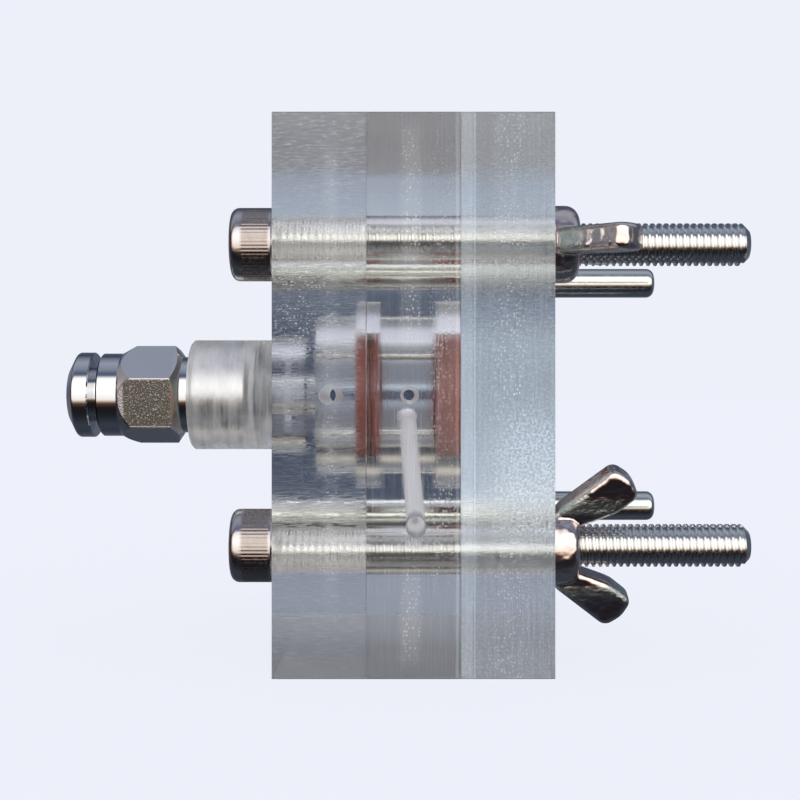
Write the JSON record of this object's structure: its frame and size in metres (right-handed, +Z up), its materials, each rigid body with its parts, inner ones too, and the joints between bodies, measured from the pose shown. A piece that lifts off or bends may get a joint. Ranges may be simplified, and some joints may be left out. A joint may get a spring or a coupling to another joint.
{
  "type": "battery test cell",
  "caption": "Clear acrylic plate-stack test cell with a gas chamber and an electrolyte chamber, a push-in gas inlet, clamping screws with wing nuts, and dowel pins.",
  "frame": {"origin": "centre of the bottom face of the plate stack", "axes": "+X through the stack, from the gas inlet to the wing nuts; -Y out of the face with the ports; +Z up"},
  "size_m": [0.0826, 0.06, 0.06],
  "materials": {
    "clear_acrylic": "clear sheet, polished faces, sawn and milled edges",
    "red_silicone": "soft matt silicone",
    "carbon": "matt carbon layer",
    "screw_steel": "stainless steel, rolled thread",
    "pin_steel": "ground stainless steel",
    "nickel": "bright nickel plate",
    "black_rubber": "moulded rubber"
  },
  "bodies": {
    "cell": {"gas_plate": "clear_acrylic", "electrolyte_plate": "clear_acrylic", "end_plate": "clear_acrylic", "inlet_boss": "clear_acrylic", "gas_side_oring": "red_silicone", "electrolyte_side_oring": "red_silicone", "end_inner_oring": "red_silicone", "end_outer_oring": "red_silicone", "gas_electrode": "carbon", "cap_screw_upper": "screw_steel", "cap_screw_lower": "screw_steel", "washer_upper": "screw_steel", "washer_lower": "screw_steel", "dowel_pin_upper": "pin_steel", "dowel_pin_lower": "pin_steel", "fitting_body": "nickel", "tube_collet": "screw_steel", "tube_seal": "black_rubber"},
    "nut_upper": {"wing_nut_upper": "nickel"},
    "nut_lower": {"wing_nut_lower": "nickel"},
    "push_ring": {"release_ring": "nickel"}
  },
  "joints": [
    {"name": "nut_upper_turn", "type": "hinge", "parent": "cell", "child": "nut_upper", "pos_m": [0.01715, -0.016, 0.0475], "axis": [1, 0, 0], "continuous": true},
    {"name": "nut_lower_turn", "type": "hinge", "parent": "cell", "child": "nut_lower", "pos_m": [0.01715, -0.016, 0.0125], "axis": [1, 0, 0], "continuous": true},
    {"name": "ring_push", "type": "slide", "parent": "cell", "child": "push_ring", "axis": [1, 0, 0], "range_m": [0, 0.00085], "stiffness_N_per_m": 300, "springref_m": -0.003}
  ]
}
